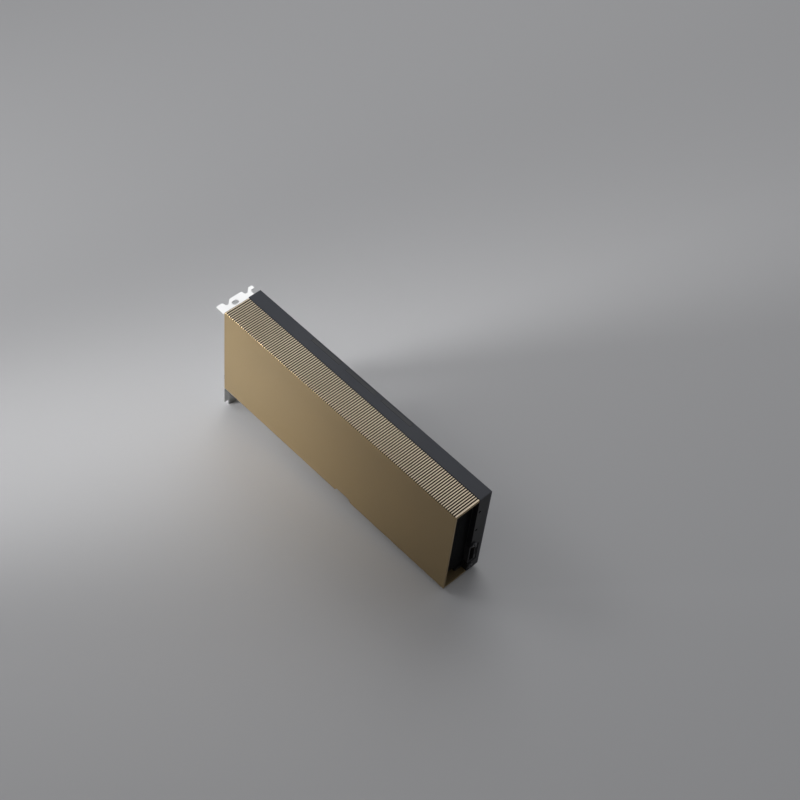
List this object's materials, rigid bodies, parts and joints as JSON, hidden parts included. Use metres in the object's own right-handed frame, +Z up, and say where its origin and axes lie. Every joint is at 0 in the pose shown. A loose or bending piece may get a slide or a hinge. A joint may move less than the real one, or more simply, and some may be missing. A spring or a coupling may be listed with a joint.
{
  "type": "passive accelerator card",
  "caption": "Long, slim dual-slot server card: a gold ribbed air-duct shroud over cooling fins, a dark back cover, a contact edge below and a vented steel bracket at one end.",
  "frame": {"origin": "middle of the key notch on the board's lower edge, halfway through the board", "axes": "+X from the bracket to the tail, +Y from the gold front to the back cover, +Z up, away from the slot"},
  "size_m": [0.2807, 0.0391, 0.1241],
  "materials": {
    "gold_anodised": "champagne gold anodised, satin",
    "dark_coating": "dark blue-grey powder coat, matt",
    "bracket_steel": "bright brushed steel",
    "screw_steel": "zinc plated steel",
    "board_laminate": "green solder mask over glass laminate",
    "contact_gold": "hard gold plating",
    "fin_aluminium": "plain aluminium",
    "chamber_copper": "plain copper",
    "moulded_black": "black glass-filled plastic",
    "chip_black": "moulded chip body",
    "carrier_green": "chip carrier laminate",
    "silicon": "polished silicon",
    "pad_grey": "soft thermal pad"
  },
  "bodies": {
    "root": {"front_shroud": "gold_anodised", "backplate": "dark_coating", "tail_plate": "dark_coating", "top_rail": "dark_coating", "bottom_rail": "dark_coating", "io_bracket": "bracket_steel", "bridge_cover_1": "moulded_black", "bridge_cover_2": "moulded_black", "bridge_cover_3": "moulded_black", "circuit_board": "board_laminate", "card_edge_contacts": "contact_gold", "bridge_contacts": "contact_gold", "heatsink_base": "fin_aluminium", "fin_stack": "fin_aluminium", "vapour_chamber": "chamber_copper", "gpu_package": "carrier_green", "package_stiffener": "screw_steel", "gpu_die": "silicon", "memory_stack_1": "silicon", "memory_stack_2": "silicon", "memory_stack_3": "silicon", "memory_stack_4": "silicon", "memory_stack_5": "silicon", "memory_stack_6": "silicon", "inductors": "chip_black", "power_stages": "chip_black", "capacitors": "chip_black", "thermal_pads": "pad_grey", "spring_plate": "screw_steel", "power_connector": "moulded_black", "power_pins": "contact_gold", "tail_screws": "screw_steel", "bracket_screws": "screw_steel", "backplate_screws": "screw_steel", "retention_screws": "screw_steel", "shroud_screws": "screw_steel"}
  },
  "joints": []
}
